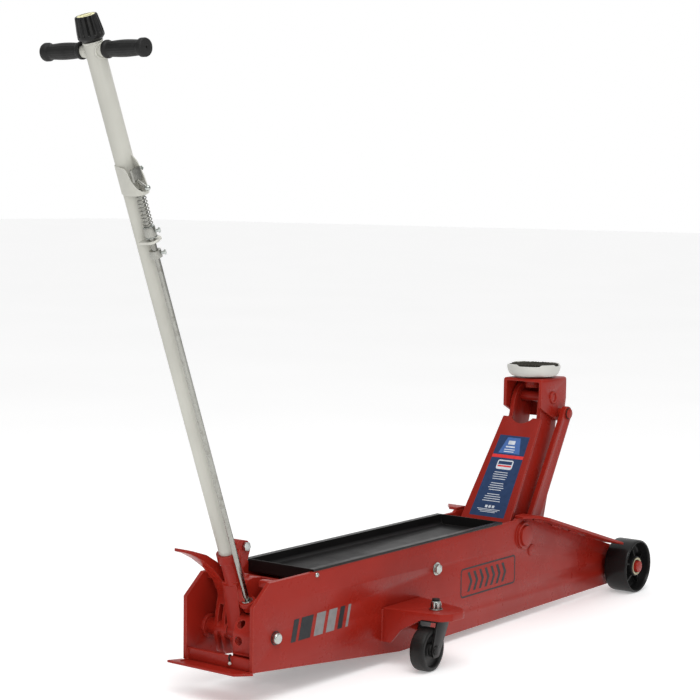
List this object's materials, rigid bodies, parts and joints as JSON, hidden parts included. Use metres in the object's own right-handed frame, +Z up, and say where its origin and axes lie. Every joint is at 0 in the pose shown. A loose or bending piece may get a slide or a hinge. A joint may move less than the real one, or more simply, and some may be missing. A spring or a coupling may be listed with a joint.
{
  "type": "trolley jack",
  "caption": "Long-chassis trolley jack with a parallel-link lifting arm, saddle, swivel castors, tool tray and upright pump handle.",
  "frame": {"origin": "on the floor, under the middle of the bounding box with the handle leaning back and the arm raised", "axes": "+X towards the front wheels, +Y to the jack's left, +Z up"},
  "size_m": [1.7741, 0.4592, 1.2446],
  "materials": {
    "red_paint": "gloss enamel over welded plate",
    "black_paint": "satin powder coat",
    "cream_paint": "satin enamel",
    "grey_paint": "matt grey enamel over a casting",
    "pad_rubber": "waffle rubber, dusty",
    "grip_rubber": "soft ribbed rubber",
    "knob_plastic": "fluted moulding",
    "wheel_black": "satin black casting",
    "castor_tyre": "hard rubber tread",
    "bright_steel": "drawn bar",
    "zinc_plate": "zinc plated"
  },
  "bodies": {
    "base": {"side_plate_left": "red_paint", "side_plate_right": "red_paint", "front_flange_left": "red_paint", "front_flange_right": "red_paint", "castor_bracket_left": "red_paint", "castor_bracket_right": "red_paint", "rear_deck": "red_paint", "rear_lip": "red_paint", "rear_cross_plate": "red_paint", "lock_sector": "red_paint", "tool_tray": "black_paint", "front_axle": "red_paint", "arm_pivot_shaft": "red_paint", "handle_pivot_shaft": "red_paint", "pivot_bolt_right": "zinc_plate", "pivot_bolt_left": "zinc_plate", "pump_body": "black_paint", "hydraulic_cylinder": "red_paint", "cylinder_bulkhead": "red_paint", "frame_bolt_right": "zinc_plate", "frame_bolt_left": "zinc_plate"},
    "lift_arm": {"arm_plate_left": "red_paint", "arm_plate_right": "red_paint", "arm_cover": "red_paint", "arm_tie": "red_paint", "arm_hub_tube": "red_paint", "crank_pin": "bright_steel"},
    "saddle_head": {"saddle_bracket": "red_paint", "head_pin": "red_paint", "link_pin_right": "red_paint", "link_pin_left": "red_paint"},
    "saddle": {"saddle_stem": "red_paint", "saddle": "grey_paint", "saddle_pad": "pad_rubber"},
    "right_link": {"link_right": "red_paint"},
    "left_link": {"link_left": "red_paint"},
    "ram": {"ram_yoke": "red_paint", "ram_rod": "bright_steel"},
    "plunger": {"pump_plunger": "bright_steel"},
    "handle": {"handle_socket": "red_paint", "handle_tube": "cream_paint", "grip_left": "grip_rubber", "grip_right": "grip_rubber", "clamp_bolt": "zinc_plate", "trigger_housing": "cream_paint", "rod_guide": "cream_paint"},
    "knob": {"release_knob": "knob_plastic", "release_shaft": "bright_steel"},
    "lock": {"lock_rod": "bright_steel", "rod_collar_upper": "bright_steel", "rod_collar_lower": "bright_steel", "lock_spring": "bright_steel"},
    "trigger": {"trigger_lever": "bright_steel"},
    "pedal": {"foot_pedal": "red_paint"},
    "right_front_wheel": {"front_wheel_right": "wheel_black"},
    "left_front_wheel": {"front_wheel_left": "wheel_black"},
    "right_castor_fork": {"castor_fork_right": "black_paint"},
    "left_castor_fork": {"castor_fork_left": "black_paint"},
    "right_castor_wheel": {"castor_wheel_right": "castor_tyre"},
    "left_castor_wheel": {"castor_wheel_left": "castor_tyre"}
  },
  "joints": [
    {"name": "arm_lift", "type": "hinge", "parent": "base", "child": "lift_arm", "pos_m": [0.40945, 0, 0.1894], "axis": [0, -1, 0], "range_deg": [-75.1, 4]},
    {"name": "head_level", "type": "hinge", "parent": "lift_arm", "child": "saddle_head", "pos_m": [0.58457, 0, 0.482], "axis": [0, -1, 0], "range_deg": [-4.5, 75.6]},
    {"name": "saddle_turn", "type": "hinge", "parent": "saddle_head", "child": "saddle", "pos_m": [0.58057, 0, 0.5295], "axis": [0, 0, 1], "continuous": true},
    {"name": "right_link_swing", "type": "hinge", "parent": "base", "child": "right_link", "pos_m": [0.44295, -0.0665, 0.1509], "axis": [0, -1, 0], "range_deg": [-75.6, 4.5]},
    {"name": "left_link_swing", "type": "hinge", "parent": "base", "child": "left_link", "pos_m": [0.44295, 0.0665, 0.1509], "axis": [0, -1, 0], "range_deg": [-75.6, 4.5]},
    {"name": "ram_slide", "type": "slide", "parent": "base", "child": "ram", "axis": [1, 0, 0], "range_m": [-0.1105, 0.0065]},
    {"name": "handle_swing", "type": "hinge", "parent": "base", "child": "handle", "pos_m": [-0.46195, 0, 0.119], "axis": [0, -1, 0], "range_deg": [-22, 64]},
    {"name": "plunger_slide", "type": "slide", "parent": "base", "child": "plunger", "axis": [1, 0, 0], "range_m": [-0.0105, 0.0295]},
    {"name": "release_turn", "type": "hinge", "parent": "handle", "child": "knob", "pos_m": [-0.86157, 0, 1.21778], "axis": [-0.359, 0, 0.9333], "range_deg": [-90, 90]},
    {"name": "lock_slide", "type": "slide", "parent": "handle", "child": "lock", "axis": [-0.359, 0, 0.9333], "range_m": [-0.005, 0.012], "stiffness_N_per_m": 1500, "springref_m": -0.005, "deforming": ["lock_spring"]},
    {"name": "trigger_swing", "type": "hinge", "parent": "handle", "child": "trigger", "pos_m": [-0.78478, -0.033, 0.98053], "axis": [0.9333, 0, 0.359], "range_deg": [-14.6, 6.4]},
    {"name": "pedal_press", "type": "hinge", "parent": "base", "child": "pedal", "pos_m": [-0.46195, 0.038, 0.119], "axis": [0, -1, 0], "range_deg": [0, 25], "stiffness_Nm_per_rad": 12, "springref_deg": -20.05},
    {"name": "right_front_roll", "type": "hinge", "parent": "base", "child": "right_front_wheel", "pos_m": [0.82405, -0.126, 0.063], "axis": [0, 1, 0], "continuous": true},
    {"name": "left_front_roll", "type": "hinge", "parent": "base", "child": "left_front_wheel", "pos_m": [0.82405, 0.126, 0.063], "axis": [0, 1, 0], "continuous": true},
    {"name": "right_castor_swivel", "type": "hinge", "parent": "base", "child": "right_castor_fork", "pos_m": [-0.06795, -0.178, 0.118], "axis": [0, 0, 1], "continuous": true},
    {"name": "left_castor_swivel", "type": "hinge", "parent": "base", "child": "left_castor_fork", "pos_m": [-0.06795, 0.178, 0.118], "axis": [0, 0, 1], "continuous": true},
    {"name": "right_castor_roll", "type": "hinge", "parent": "right_castor_fork", "child": "right_castor_wheel", "pos_m": [-0.10087, -0.1803, 0.044], "axis": [-0.0698, 0.9976, 0], "continuous": true},
    {"name": "left_castor_roll", "type": "hinge", "parent": "left_castor_fork", "child": "left_castor_wheel", "pos_m": [-0.10087, 0.1803, 0.044], "axis": [0.0698, 0.9976, 0], "continuous": true}
  ],
  "couplings": [
    {"joint": "head_level", "follows": "arm_lift", "ratio": -1},
    {"joint": "right_link_swing", "follows": "arm_lift", "ratio": 1},
    {"joint": "left_link_swing", "follows": "arm_lift", "ratio": 1},
    {"joint": "ram_slide", "follows": "arm_lift", "m_per_rad": 0.0837},
    {"joint": "plunger_slide", "follows": "handle_swing", "m_per_rad": 0.0258},
    {"joint": "trigger_swing", "follows": "lock_slide", "rad_per_m": -20.4}
  ]
}
